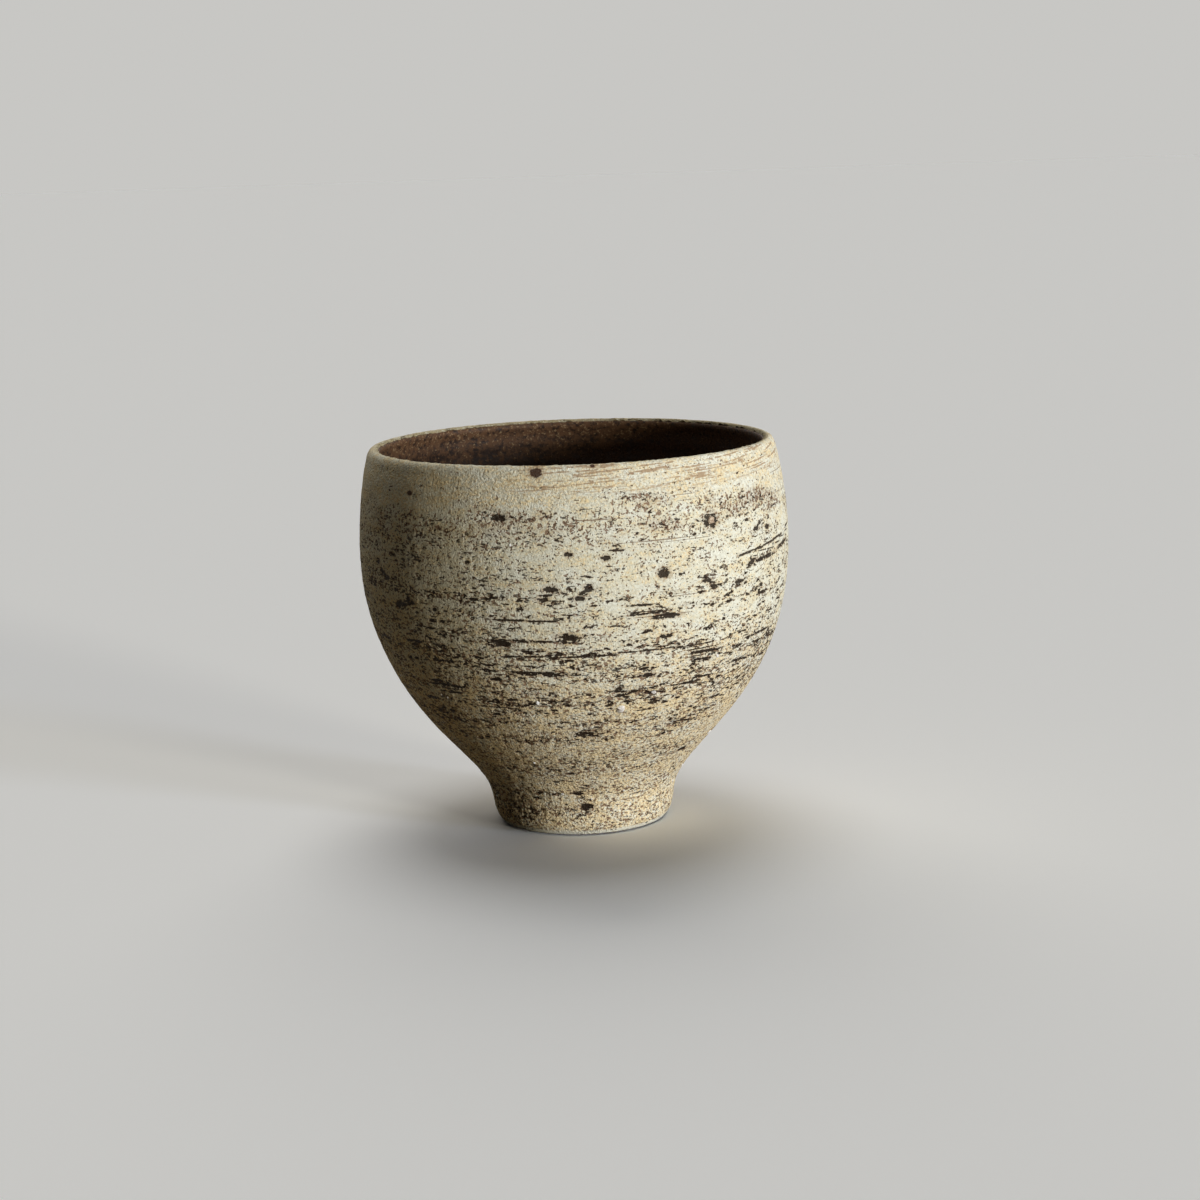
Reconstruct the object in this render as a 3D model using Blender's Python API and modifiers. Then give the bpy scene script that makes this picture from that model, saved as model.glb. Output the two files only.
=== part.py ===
"""A wheel-thrown stoneware tumbler on a small turned foot.

The cup is four fired layers that share one section line: the thrown bowl, the foot ring
luted under it, the pale slip that coats the outside and laps over the lip, and the dark
glaze that lines the inside. Units are metres, +Z is up, and the origin is the middle of
the base.
"""

import math

import bpy
import numpy as np

# Outside of the finished cup
CUP_HEIGHT = 0.0842
RIM_RADIUS = 0.0430  # to the middle of the lip
RIM_LEAN = math.radians(25)  # how far the lip leans in
RIM_REACH = 0.0043  # how far that lean reaches down the wall
BELLY_RADIUS = 0.0470
BELLY_HEIGHT = 0.0627  # where the cup is widest
BELLY_RISE = 0.0048  # how far the wall stays upright above the belly
BELLY_DROP = 0.0362  # how far the belly's upright line pulls the curve below it

# Foot
FOOT_RADIUS = 0.0204  # where the foot meets the bowl
FOOT_HEIGHT = 0.0060
FOOT_LIFT = 0.0116  # the line climbs this far out of the foot before it swings out
FOOT_FLARE = 0.0015  # and leans out this far on the way
FOOT_SIDE = 0.0036  # length of the foot's nearly upright side
FOOT_TUCK = 0.0025  # how far its lower edge is turned in
TUCK_SPREAD = 0.0013  # slope of the turned edge where it meets the table
TUCK_RISE = 0.0006
PAD_WIDTH = 0.0032  # bare ring that the cup stands on
PAD_BEVEL = 0.0005  # inner edge of that ring
RECESS_DRAFT = 0.0010  # the recess narrows upwards by this
RECESS_DOME = 0.0008  # its ceiling rises by this in the middle

# Thickness of the clay
LIP_CLAY = 0.0010
BELLY_CLAY = 0.0022
FLOOR_CLAY = 0.0045
WELL_DROP = 0.0345  # how far the inside wall runs down before it turns to the floor
WELL_SPREAD = 0.0150  # how far the floor runs level from the middle

# Coats on the clay
SLIP_THICKNESS = 0.0004
GLAZE_THICKNESS = 0.0004
SEAT_GAP = 0.0003  # clearance between touching layers
LIP_LINING = 0.0012  # the lining climbs this far round the inside of the lip
SLIP_HEM = 0.0004  # the slip stops this far above the table

# Facets
TURN_STEPS = 48
LONGEST_STEP = 0.0090  # along the section, on a straight stretch
SHARPEST_TURN = math.radians(20)  # from one facet to the next, at one place
CURVE_POINTS = 200
DOME_POINTS = 4
AXIS_MERGE = 0.00001
EDGE_ANGLE = math.radians(40)

COAT_DEPTH = SLIP_THICKNESS + SEAT_GAP
LINING_DEPTH = GLAZE_THICKNESS + SEAT_GAP

SLIP_COLOUR = (0.58, 0.50, 0.33, 1.0)
CLAY_COLOUR = (0.060, 0.036, 0.022, 1.0)
FOOT_COLOUR = (0.105, 0.065, 0.038, 1.0)
GLAZE_COLOUR = (0.085, 0.045, 0.024, 1.0)


def clear_scene():
    for old in list(bpy.data.objects):
        bpy.data.objects.remove(old)


def principled(name, colour, roughness):
    """A plain fired surface."""
    material = bpy.data.materials.new(name)
    material.use_nodes = True
    shader = material.node_tree.nodes["Principled BSDF"]
    shader.inputs["Base Color"].default_value = colour
    shader.inputs["Roughness"].default_value = roughness
    shader.inputs["Metallic"].default_value = 0.0
    return material


def curve(start, start_handle, end_handle, end):
    """Rows of radius and height along one Bezier curve."""
    t = np.linspace(0, 1, CURVE_POINTS)[:, None]
    s = 1 - t
    near = s**3 * np.array(start) + 3 * s**2 * t * np.array(start_handle)
    far = 3 * s * t**2 * np.array(end_handle) + t**3 * np.array(end)
    return near + far


def arc(middle, radius, first_angle, last_angle):
    """Rows of radius and height along a round edge."""
    angles = np.linspace(first_angle, last_angle, CURVE_POINTS)
    return np.array(middle) + radius * np.column_stack([np.cos(angles), np.sin(angles)])


class SectionLine:
    """The finished surface in section: floor, inside wall, lip, outside wall and foot.

    It runs from the middle of the inside floor to the base. A place on it is a distance
    along it, and a depth is measured from it into the clay.
    """

    def __init__(self, inside, lip, outside):
        self.points = np.concatenate([inside, lip[1:], outside[1:]])
        steps = np.diff(self.points, axis=0)
        lengths = np.linalg.norm(steps, axis=1)
        ways = np.gradient(self.points, axis=0)
        ways /= np.linalg.norm(ways, axis=1)[:, None]
        self.into_clay = np.column_stack([ways[:, 1], -ways[:, 0]])
        self.into_clay[0] = (0, -1)
        turns = np.abs(np.diff(np.unwrap(np.arctan2(ways[:, 1], ways[:, 0]))))
        paces = lengths / LONGEST_STEP + turns / SHARPEST_TURN
        self.distance = np.concatenate([[0], np.cumsum(lengths)])
        self.pace = np.concatenate([[0], np.cumsum(paces)])
        self.lip_start = self.distance[len(inside) - 1]
        self.lip_end = self.distance[len(inside) + len(lip) - 2]
        self.base = self.distance[-1]

    def stretch(self, first, last, depth):
        """Points from one place to another at a depth, closer together where the line bends."""
        line = self.points + depth * self.into_clay
        ends = np.interp([first, last], self.distance, self.pace)
        count = max(2, math.ceil(abs(ends[1] - ends[0])) + 1)
        paces = np.linspace(ends[0], ends[1], count)
        radii = np.interp(paces, self.pace, line[:, 0])
        heights = np.interp(paces, self.pace, line[:, 1])
        return np.column_stack([radii, heights])

    def outside_at(self, height, depth):
        """The place on the outside where the line at this depth passes a height."""
        line = self.points + depth * self.into_clay
        outside = self.distance >= self.lip_end
        heights = line[outside, 1][::-1]
        return np.interp(height, heights, self.distance[outside][::-1])


def finished_section():
    lip_round = LIP_CLAY / 2 + COAT_DEPTH
    lip_middle = np.array([RIM_RADIUS, CUP_HEIGHT - lip_round])
    lip_out = lip_round * np.array([math.cos(RIM_LEAN), math.sin(RIM_LEAN)])
    down_wall = RIM_REACH * np.array([math.sin(RIM_LEAN), -math.cos(RIM_LEAN)])
    inner_lip = lip_middle - lip_out
    outer_lip = lip_middle + lip_out

    well_radius = BELLY_RADIUS - COAT_DEPTH - BELLY_CLAY - LINING_DEPTH
    floor = FOOT_HEIGHT + RECESS_DOME + FLOOR_CLAY + LINING_DEPTH
    well = (well_radius, BELLY_HEIGHT)
    well_below = (well_radius, BELLY_HEIGHT - WELL_DROP)
    well_above = (well_radius, BELLY_HEIGHT + BELLY_RISE)
    bowl = curve((0, floor), (WELL_SPREAD, floor), well_below, well)
    neck = curve(well, well_above, inner_lip + down_wall, inner_lip)
    inside = np.concatenate([bowl, neck[1:]])

    lip = arc(lip_middle, lip_round, math.pi + RIM_LEAN, RIM_LEAN)

    belly = (BELLY_RADIUS, BELLY_HEIGHT)
    belly_above = (BELLY_RADIUS, BELLY_HEIGHT + BELLY_RISE)
    belly_below = (BELLY_RADIUS, BELLY_HEIGHT - BELLY_DROP)
    foot = np.array([FOOT_RADIUS, FOOT_HEIGHT])
    out_of_foot = np.array([FOOT_FLARE, FOOT_LIFT])
    down_foot = FOOT_SIDE * out_of_foot / np.linalg.norm(out_of_foot)
    base = np.array([FOOT_RADIUS - FOOT_TUCK, 0])
    shoulder = curve(outer_lip, outer_lip + down_wall, belly_above, belly)
    flank = curve(belly, belly_below, foot + out_of_foot, foot)
    foot_side = curve(foot, foot - down_foot, base + (TUCK_SPREAD, TUCK_RISE), base)
    outside = np.concatenate([shoulder, flank[1:], foot_side[1:]])
    return SectionLine(inside, lip, outside)


def turned(name, rows, material, cup):
    """A solid turned from a section whose rows run down its outer side.

    A section that starts and ends on the axis is closed by it, and any other by its own
    last edge.
    """
    corners = [(radius, 0, height) for radius, height in rows]
    edges = [(i, i + 1) for i in range(len(corners) - 1)]
    if rows[0][0] > AXIS_MERGE:
        edges.append((len(corners) - 1, 0))
    section = bpy.data.meshes.new(name)
    section.from_pydata(corners, edges, [])
    piece = bpy.data.objects.new(name, section)
    cup.users_collection[0].objects.link(piece)
    piece.parent = cup
    screw = piece.modifiers.new("Turning", "SCREW")
    screw.axis = "Z"
    screw.angle = 2 * math.pi
    screw.steps = TURN_STEPS
    screw.render_steps = TURN_STEPS
    screw.use_merge_vertices = True
    screw.merge_threshold = AXIS_MERGE
    solid = bpy.data.meshes.new_from_object(
        piece.evaluated_get(bpy.context.evaluated_depsgraph_get())
    )
    piece.modifiers.clear()
    piece.data = solid
    bpy.data.meshes.remove(section)
    solid.name = name
    solid.materials.append(material)
    solid.shade_smooth()
    solid.set_sharp_from_angle(angle=EDGE_ANGLE)
    return piece


def pad_and_recess(line):
    """Outer radius of the bare ring, and the recess's radius at its mouth and its ceiling."""
    pad_outer = line.stretch(line.lip_end, line.base, COAT_DEPTH)[-1][0]
    mouth = pad_outer - PAD_WIDTH
    return pad_outer, mouth, mouth - RECESS_DRAFT


def clay_bowl(line, lap):
    """The thrown wall and floor, from the well over the lip to the joint with the foot."""
    joint = line.outside_at(FOOT_HEIGHT, COAT_DEPTH)
    well = line.stretch(0, lap, LINING_DEPTH)
    wall = line.stretch(lap, joint, COAT_DEPTH)
    ceiling_radius = pad_and_recess(line)[2]
    radii = np.linspace(ceiling_radius, 0, DOME_POINTS)
    rises = RECESS_DOME * (1 - (radii / ceiling_radius) ** 2)
    ceiling = np.column_stack([radii, FOOT_HEIGHT + rises])
    if COAT_DEPTH == LINING_DEPTH:
        wall = wall[1:]
    return np.concatenate([well, wall, ceiling])


def foot_ring(line):
    """The turned ring under the bowl, open in the middle."""
    top = FOOT_HEIGHT - SEAT_GAP
    side = line.stretch(line.outside_at(top, COAT_DEPTH), line.base, COAT_DEPTH)
    pad_outer, mouth, ceiling_radius = pad_and_recess(line)
    under = [
        (pad_outer, 0),
        (mouth + PAD_BEVEL, 0),
        (mouth, PAD_BEVEL),
        (ceiling_radius, top),
    ]
    return np.concatenate([side, under])


def slip_coat(line, lap):
    """The pale coat from just inside the lip, over it and down to the hem."""
    hem = line.outside_at(SLIP_HEM, 0)
    start = lap + SEAT_GAP / 2
    face = line.stretch(start, hem, 0)
    back = line.stretch(hem, start, SLIP_THICKNESS)
    return np.concatenate([face, back])


def inner_glaze(line, lap):
    """The dark lining from the middle of the floor up to the edge of the slip."""
    end = lap - SEAT_GAP / 2
    face = line.stretch(0, end, 0)
    back = line.stretch(end, 0, GLAZE_THICKNESS)
    return np.concatenate([face, back])


def main():
    clear_scene()
    parts = bpy.data.collections.new("ceramic_tumbler")
    bpy.context.scene.collection.children.link(parts)
    cup = bpy.data.objects.new("cup_centre", None)
    parts.objects.link(cup)

    line = finished_section()
    lap = line.lip_start + LIP_LINING
    turned("clay_bowl", clay_bowl(line, lap), principled("dark_clay", CLAY_COLOUR, 0.9), cup)
    turned("foot_ring", foot_ring(line), principled("bare_foot", FOOT_COLOUR, 0.9), cup)
    turned("slip_coat", slip_coat(line, lap), principled("pale_slip", SLIP_COLOUR, 0.7), cup)
    turned("inner_glaze", inner_glaze(line, lap), principled("brown_glaze", GLAZE_COLOUR, 0.4), cup)


main()
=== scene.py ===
"""A wheel-thrown stoneware tumbler: torn pale slip over dark clay, brown glaze inside."""

import math
import random

import bmesh
import bpy
import numpy as np
from mathutils import Matrix, Vector


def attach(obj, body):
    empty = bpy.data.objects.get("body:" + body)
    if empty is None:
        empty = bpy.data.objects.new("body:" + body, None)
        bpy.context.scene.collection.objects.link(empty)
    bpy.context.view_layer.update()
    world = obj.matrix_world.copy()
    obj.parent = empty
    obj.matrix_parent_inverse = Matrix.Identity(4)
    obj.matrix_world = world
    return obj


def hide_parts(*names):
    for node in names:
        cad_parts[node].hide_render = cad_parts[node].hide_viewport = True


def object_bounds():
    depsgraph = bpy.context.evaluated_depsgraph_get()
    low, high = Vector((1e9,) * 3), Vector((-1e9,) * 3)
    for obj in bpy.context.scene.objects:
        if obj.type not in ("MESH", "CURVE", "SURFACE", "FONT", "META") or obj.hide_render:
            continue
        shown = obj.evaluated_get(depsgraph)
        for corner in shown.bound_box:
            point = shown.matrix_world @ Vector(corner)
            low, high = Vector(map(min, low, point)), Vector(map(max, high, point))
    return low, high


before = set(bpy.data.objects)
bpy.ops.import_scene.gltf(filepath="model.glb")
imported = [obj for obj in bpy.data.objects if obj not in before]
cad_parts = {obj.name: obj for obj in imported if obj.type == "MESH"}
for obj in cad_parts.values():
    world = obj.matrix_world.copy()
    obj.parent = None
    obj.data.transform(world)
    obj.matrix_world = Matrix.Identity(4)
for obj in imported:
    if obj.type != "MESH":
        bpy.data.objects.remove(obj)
cad_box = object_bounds()

MM = 0.001

# View: the cup stands a little below the middle, seen from slightly above
LENS_MM = 75
SENSOR_MM = 36
CAMERA_PITCH = math.radians(10.33)
CAMERA_ROLL = math.radians(1.9)
CUP_FROM_CAMERA = Vector((-3.6, -47.9, -561.0)) * MM

# Light
KEYS = (  # angle to the right of the camera, and colour
    (math.radians(43), (1.05, 0.99, 0.855)),
    (math.radians(59), (0.92, 1.01, 1.215)),
)
KEY_RISE = math.radians(4.5)
KEY_SPREAD = math.radians(9)
KEY_STRENGTH = 1.94
FILL_TURN = math.radians(186)  # from behind
FILL_RISE = math.radians(40)
FILL_SPREAD = math.radians(58)
FILL_STRENGTH = 1.25
FILL_COLOUR = (1.0, 0.94, 0.84)
TOP_TURN = math.radians(180)
TOP_RISE = math.radians(78)
TOP_SPREAD = math.radians(34)
TOP_STRENGTH = 0.78
TOP_COLOUR = (1.0, 0.985, 0.96)
WELL_LAMP_HEIGHT = 1.2
WELL_LAMP_REACH = 35 * MM  # all round the axis, at the lip, so that it lights only the inside
WELL_LAMP_SIZE = 4 * MM
WELL_LAMP_POWER = 48
WELL_LAMP_BLEND = 0.7
ROOM_LIGHT = 0.012
FLOOR_SIZE = 24.0
FLOOR_SEEN = (0.95, 0.97, 0.985, 1)
FLOOR_BOUNCE = (0.19, 0.15, 0.095, 1)


def on_floor(strength, rise, colour):
    """The light that a lamp throws on the floor."""
    return np.array(colour) * strength * math.sin(rise) / math.pi


# The backdrop is as light as the floor
BACKDROP = np.array(FLOOR_SEEN[:3]) * (
    sum(on_floor(KEY_STRENGTH, KEY_RISE, colour) for _, colour in KEYS)
    + on_floor(FILL_STRENGTH, FILL_RISE, FILL_COLOUR)
    + on_floor(TOP_STRENGTH, TOP_RISE, TOP_COLOUR)
    + ROOM_LIGHT
)

# Mesh
WELD = 0.000002
SKIN_COLUMNS = 480
SKIN_STEP = 0.64 * MM
LINING_COLUMNS = 300
LINING_STEP = 0.95 * MM
FOOT_COLUMNS = 240
FOOT_STEP = 0.45 * MM
BOWL_COLUMNS = 200
BOWL_STEP = 1.3 * MM
CURVE_SAMPLES = 4000  # along a curve, before its rows are spaced
EDGE_SAMPLES = 50  # along a straight line
LOW_BEFORE_FAR = 100  # a section off the axis starts at its lowest point, the outermost of those
SHARPEST_TURN = math.radians(14)  # from one row to the next
CORNER_TURN = math.radians(36)  # a sharper turn than this is an edge
SKIN_DEPTH = 0.55 * MM
BACK_SKIP = 6  # the hidden back of a coat has a row for every few of its face
LINING_DEPTH = 0.5 * MM
LINING_SKIP = 3
LINING_FADE = 4 * MM
TUCK_DEPTH = 0.28 * MM  # the lining runs on under the slip this deep
TUCK_START = 0.3 * MM
TUCK_REACH = 1.0 * MM
EDGE_FADE = 1.2 * MM  # relief dies out this close to a coat's edge
LAP_FADE = 1.0 * MM
FOOT_EDGE = 0.35 * MM
SEAM_REACH = 1e-5
HIDDEN_SHARE = 0.06  # of its length, for a coat's hidden back on its map
SMOOTH_ANGLE = math.radians(50)

# Colours
GLAZE_DARK = (0.014, 0.0068, 0.0038, 1)
GLAZE_BROWN = (0.040, 0.0195, 0.0098, 1)
GLAZE_RUST_AND_LIGHT = (0.098, 0.048, 0.021, 1)
GLAZE_FLECK = (0.27, 0.19, 0.10, 1)
BOWL_CLAY = (0.045, 0.027, 0.017, 1), (0.085, 0.052, 0.032, 1)
FOOT_CLAY = (0.075, 0.046, 0.028, 1), (0.13, 0.083, 0.05, 1)
GROG_PALE = (0.30, 0.22, 0.14, 1)
GROG_DARK = (0.02, 0.014, 0.011, 1)
SLIP_PALE = (0.765, 0.765, 0.64, 1)
SLIP_CREAM = (0.725, 0.69, 0.515, 1)
SLIP_TAN = (0.84, 0.665, 0.375, 1)
SLIP_HOLLOW_SHADE = (0.25, 0.155, 0.085, 1)
SLIP_FRECKLE = (0.20, 0.112, 0.062, 1)
SLIP_PEPPER = (0.07, 0.039, 0.023, 1)
SLIP_TORN = (0.0145, 0.0078, 0.0042, 1)
SLIP_STAIN = (0.36, 0.255, 0.15, 1)
SLIP_BRUSH = (0.37, 0.245, 0.14, 1)
SLIP_WASH = (0.225, 0.18, 0.095, 1)
SLIP_IRON = (0.05, 0.022, 0.015, 1)
SAND_PAINTED_SHADE = (0.84, 0.82, 0.79, 1), (1.06, 1.06, 1.06, 1)  # painted shade of the sand grains, darker where the grain is low: multiplies the slip's colour
FELDSPAR = (0.85, 0.845, 0.82, 1), (0.70, 0.68, 0.62, 1)
BURST_BROWN = (0.60, 0.48, 0.34, 1), (0.28, 0.18, 0.11, 1)
BOWL_GROG = 0.9 * MM
FOOT_GROG = 0.75 * MM

# The few marks that stand out from the front are listed one by one.
# A streak: degrees round from the front at both ends, height at both ends, thickness in mm
STANDOUT_STREAKS = {
    "long scratch round the belly": (-20, 41, 45, 45.5, 0.35),
    "broad scratch below it": (-19, 0, 41.5, 41, 0.9),
    "scratch above the belly": (13, 29, 53, 53.5, 0.45),
    "bar over the hooked pit": (9, 14, 67, 67, 0.6),
    "upper slash on the right": (47, 90, 63, 66, 0.6),
    "lower slash on the right": (54, 80, 61, 62.5, 0.7),
}
# A pit or a spot: degrees round from the front, height, length and breadth in mm
STANDOUT_PITS = {
    "lozenge": (-2, 49, 4.5, 2),
    "long pit left of the lozenge": (-20, 48, 5, 1.5),
    "burst pit": (38, 71, 3.5, 3),
    "star": (23, 61.5, 2.5, 2),
    "hooked pit": (8, 65.5, 2, 1),
    "pit in the scratch": (24, 52.5, 6.5, 1),
    "shoulder pit": (-19, 74, 3.5, 1.5),
    "low pit": (2, 26.5, 4, 2),
    "foot pit": (2, 7, 3, 1.5),
}
IRON_SPOTS = {
    "large spot at the lip": (-9, 83, 2.5, 2),
    "small spot at the lip": (6, 84, 1, 1),
    "spot below the lip": (-47, 78, 1.5, 1),
}
# All other marks of these kinds are strewn round the cup by chance
STREWN_STREAKS = 80
STREAK_TURNS = (3, 5, 5, 8, 12, 17)  # degrees
STREAK_HEIGHTS = (12, 70, 36)  # lowest, highest and most common, in mm
STREAK_LIFT = 0.4  # from one end to the other, up or down
STREAK_THICKNESSES = (0.3, 0.7)
SIZE_SPREAD = (0.8, 1.2)  # about a length that is picked
STREWN_CLUSTERS = 120
CLUSTER_PITS = (1, 1, 2, 3, 4)
CLUSTER_REACH = (2.4, 0.9)  # degrees round and mm up
KEPT_CLEAR = 1.3  # lengths of a standout pit, all round it
PIT_LENGTHS = (0.8, 1.0, 1.3, 1.7, 2.3)
PIT_SHAPES = (0.35, 0.6)  # breadth as a share of length
PIT_HEIGHTS = (8, 75, 54)
STREAK_RUN = 17  # degrees that a streak runs before it breaks
RUN_SHARES = (0.6, 0.97)  # of the way to the next run
RUN_DRIFT = 0.3  # up or down, in mm
RUN_THICKNESSES = (0.75, 1.2)  # of the streak's own
STREAK_SEED, PIT_SEED, GRAIN_SEED, GRAIN_TURN_SEED, RUN_SEED = 31, 32, 33, 34, 35
MARK_MARGIN = 1.5 * MM
DENT_REACH = 1.4  # of a mark's size, over which its dent fades out
LEAST_DENT = 0.3 * MM  # half breadth that the mesh can still show
DEEP_DENT = 0.5 * MM  # a mark with this half breadth is fully deep
FAR_OFF = 9.0
PIT_KIND, IRON_KIND = 1.0, 2.0

# Feldspar grains in the slip: degrees round, height and breadth in mm
LARGE_GRAIN = (13, 32.5, 2)
BURST_CORE = (38, 71, 2)  # brown, in the burst pit
STREWN_GRAINS = 72
GRAIN_BREADTHS = (0.4, 0.5, 0.6, 0.7, 1.1)
GRAIN_SPREAD = (0.85, 1.15)
GRAIN_TOP = 82  # the highest, in mm, with more of them further down
GRAIN_FALL = 76
GRAIN_SPANS = (0.85, 1.1), (0.8, 1.0), (0.5, 0.7)  # length, width and height by breadth
GRAIN_TINTS = (0.0, 0.0, 0.15, 0.35)
GRAIN_RADIUS = 0.5 * MM
GRAIN_KNOCKS = 0.13 * MM
GRAIN_SINK = 0.10  # of its breadth
GRAIN_FROM_LIP = 2 * MM


def section(node):
    """The outline of a CAD node in the half-plane of +X and +Z, walked once round."""
    mesh = bmesh.new()
    mesh.from_mesh(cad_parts[node].data)
    bmesh.ops.remove_doubles(mesh, verts=mesh.verts, dist=WELD)
    cut = {v for v in mesh.verts if abs(v.co.y) < WELD and v.co.x > -WELD}
    ways = {v: [e.other_vert(v) for e in v.link_edges] for v in cut}
    ways = {v: [w for w in others if w in cut] for v, others in ways.items()}
    ends = [v for v in cut if len(ways[v]) == 1]
    if ends:
        here = max(ends, key=lambda v: v.co.z)
    else:
        here = max(cut, key=lambda v: v.co.x - LOW_BEFORE_FAR * v.co.z)
    walk = [here]
    low = min(ways[here], key=lambda v: v.co.z)
    onward = [w for w in ways[here] if w is not low or len(ways[here]) == 1]
    while onward:
        walk.append(onward[0])
        onward = [w for w in ways[walk[-1]] if w not in walk[-2:] and w is not walk[0]]
    points = np.array([(v.co.x, v.co.z) for v in walk])
    mesh.free()
    return points


def turn_angles(points):
    ways = np.diff(points, axis=0)
    angles = np.unwrap(np.arctan2(ways[:, 1], ways[:, 0]))
    return np.abs(np.diff(angles))


def smooth_stretch(points, step):
    """A smooth curve through the points, with rows closer together where it bends."""
    if len(points) > 2:
        along = np.concatenate([[0], np.cumsum(np.linalg.norm(np.diff(points, axis=0), axis=1))])
        slopes = np.gradient(points, along, axis=0, edge_order=2)
        dense = np.linspace(0, along[-1], CURVE_SAMPLES)
        i = np.clip(np.searchsorted(along, dense) - 1, 0, len(along) - 2)
        gap = (along[i + 1] - along[i])[:, None]
        t = ((dense - along[i]) / gap[:, 0])[:, None]
        line = (
            (2 * t**3 - 3 * t**2 + 1) * points[i]
            + (t**3 - 2 * t**2 + t) * gap * slopes[i]
            + (3 * t**2 - 2 * t**3) * points[i + 1]
            + (t**3 - t**2) * gap * slopes[i + 1]
        )
    else:
        line = points[0] + np.linspace(0, 1, EDGE_SAMPLES)[:, None] * (points[1] - points[0])
    lengths = np.linalg.norm(np.diff(line, axis=0), axis=1)
    turns = np.concatenate([[0], turn_angles(line)])
    pace = np.concatenate([[0], np.cumsum(lengths / step + turns / SHARPEST_TURN)])
    even = np.linspace(0, pace[-1], max(2, math.ceil(pace[-1]) + 1))
    return np.column_stack([np.interp(even, pace, line[:, 0]), np.interp(even, pace, line[:, 1])])


def even_line(points, step):
    """The same outline drawn smooth between its edges."""
    edges = [i + 1 for i, turn in enumerate(turn_angles(points)) if turn > CORNER_TURN]
    stops = [0] + edges + [len(points) - 1]
    rows = [smooth_stretch(points[a : b + 1], step) for a, b in zip(stops, stops[1:])]
    return np.concatenate([rows[0]] + [r[1:] for r in rows[1:]])


def into_clay(rows):
    ways = np.gradient(rows, axis=0)
    ways /= np.linalg.norm(ways, axis=1)[:, None]
    return np.column_stack([ways[:, 1], -ways[:, 0]])


def distances(rows):
    return np.concatenate([[0], np.cumsum(np.linalg.norm(np.diff(rows, axis=0), axis=1))])


def turned(name, rows, columns, notes):
    """A closed shape turned from a loop of radius and height.

    Notes are values along the loop that the turned mesh keeps as attributes.
    """
    bpy.ops.object.select_all(action="DESELECT")
    bpy.ops.mesh.primitive_circle_add(vertices=len(rows), radius=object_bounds()[1].z)
    piece = bpy.context.object
    piece.name = name
    piece.data.name = name
    places = np.column_stack([rows[:, 0], np.zeros(len(rows)), rows[:, 1]])
    piece.data.vertices.foreach_set("co", places.ravel())
    steps = np.linalg.norm(np.diff(np.concatenate([rows, rows[:1]]), axis=0), axis=1)
    hidden = np.asarray(notes["along"]) < 0
    steps[hidden | np.roll(hidden, -1)] *= HIDDEN_SHARE
    strip = np.concatenate([[0], np.cumsum(steps)[:-1]]) / steps.sum()
    for note, values in (notes | {"strip": strip}).items():
        layer = piece.data.attributes.new(note, "FLOAT", "POINT")
        layer.data.foreach_set("value", np.asarray(values, np.float32))
    on_axis = [v.co.x < WELD for v in piece.data.vertices]
    for edge in piece.data.edges:
        edge.select = all(on_axis[i] for i in edge.vertices)
    for vertex in piece.data.vertices:
        vertex.select = False
    bpy.ops.object.mode_set(mode="EDIT")
    bpy.ops.mesh.select_mode(type="EDGE")
    if sum(on_axis) == 2:
        bpy.ops.mesh.delete(type="EDGE")
    bpy.ops.object.mode_set(mode="OBJECT")
    turning = piece.modifiers.new("Turning", "SCREW")
    turning.axis = "Z"
    turning.angle = math.tau
    turning.steps = columns
    turning.render_steps = columns
    turning.use_merge_vertices = True
    turning.merge_threshold = WELD
    bpy.ops.object.modifier_apply(modifier=turning.name)
    bpy.ops.object.mode_set(mode="EDIT")
    bpy.ops.mesh.select_mode(type="VERT")
    bpy.ops.mesh.select_all(action="SELECT")
    bpy.ops.mesh.remove_doubles(threshold=WELD)
    bpy.ops.mesh.normals_make_consistent(inside=False)
    bpy.ops.object.mode_set(mode="OBJECT")
    unroll(piece)
    return piece


def unroll(piece):
    """A map of the piece unrolled: round the axis across, and once round its section up."""
    places = vertex_places(piece)
    corners = np.zeros(len(piece.data.loops), np.int32)
    piece.data.loops.foreach_get("vertex_index", corners)
    starts = np.zeros(len(piece.data.polygons), np.int32)
    piece.data.polygons.foreach_get("loop_start", starts)
    counts = np.diff(np.append(starts, len(corners)))
    pole = np.hypot(places[:, 0], places[:, 1])[corners] < WELD
    across = np.arctan2(places[:, 1], places[:, 0])[corners] / math.tau % 1
    across[across > 1 - SEAM_REACH] = 0
    across[pole] = 0.5
    up = vertex_values(piece, "strip")[corners].astype(float)
    for values in (across, up):
        spans = np.maximum.reduceat(values, starts) - np.minimum.reduceat(values, starts)
        values[np.repeat(spans > 0.5, counts) & (values < 0.5)] += 1
    rim_rust_and_light = np.add.reduceat(np.where(pole, 0, across), starts)
    rim_rust_and_light /= np.maximum(np.add.reduceat(~pole, starts, dtype=int), 1)
    across[pole] = np.repeat(rim_rust_and_light, counts)[pole]
    layer = piece.data.uv_layers.new(name="OFBake")
    layer.data.foreach_set("uv", np.column_stack([across, up]).astype(np.float32).ravel())


def vertex_values(piece, note):
    values = np.zeros(len(piece.data.vertices), np.float32)
    piece.data.attributes[note].data.foreach_get("value", values)
    return values


def vertex_places(piece):
    places = np.zeros(len(piece.data.vertices) * 3, np.float32)
    piece.data.vertices.foreach_get("co", places)
    return places.reshape(-1, 3).astype(float)


SOCKET_KINDS = {
    "Place": "NodeSocketVector",
    "Dark": "NodeSocketColor",
    "Light": "NodeSocketColor",
    "Colour": "NodeSocketColor",
}


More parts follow.
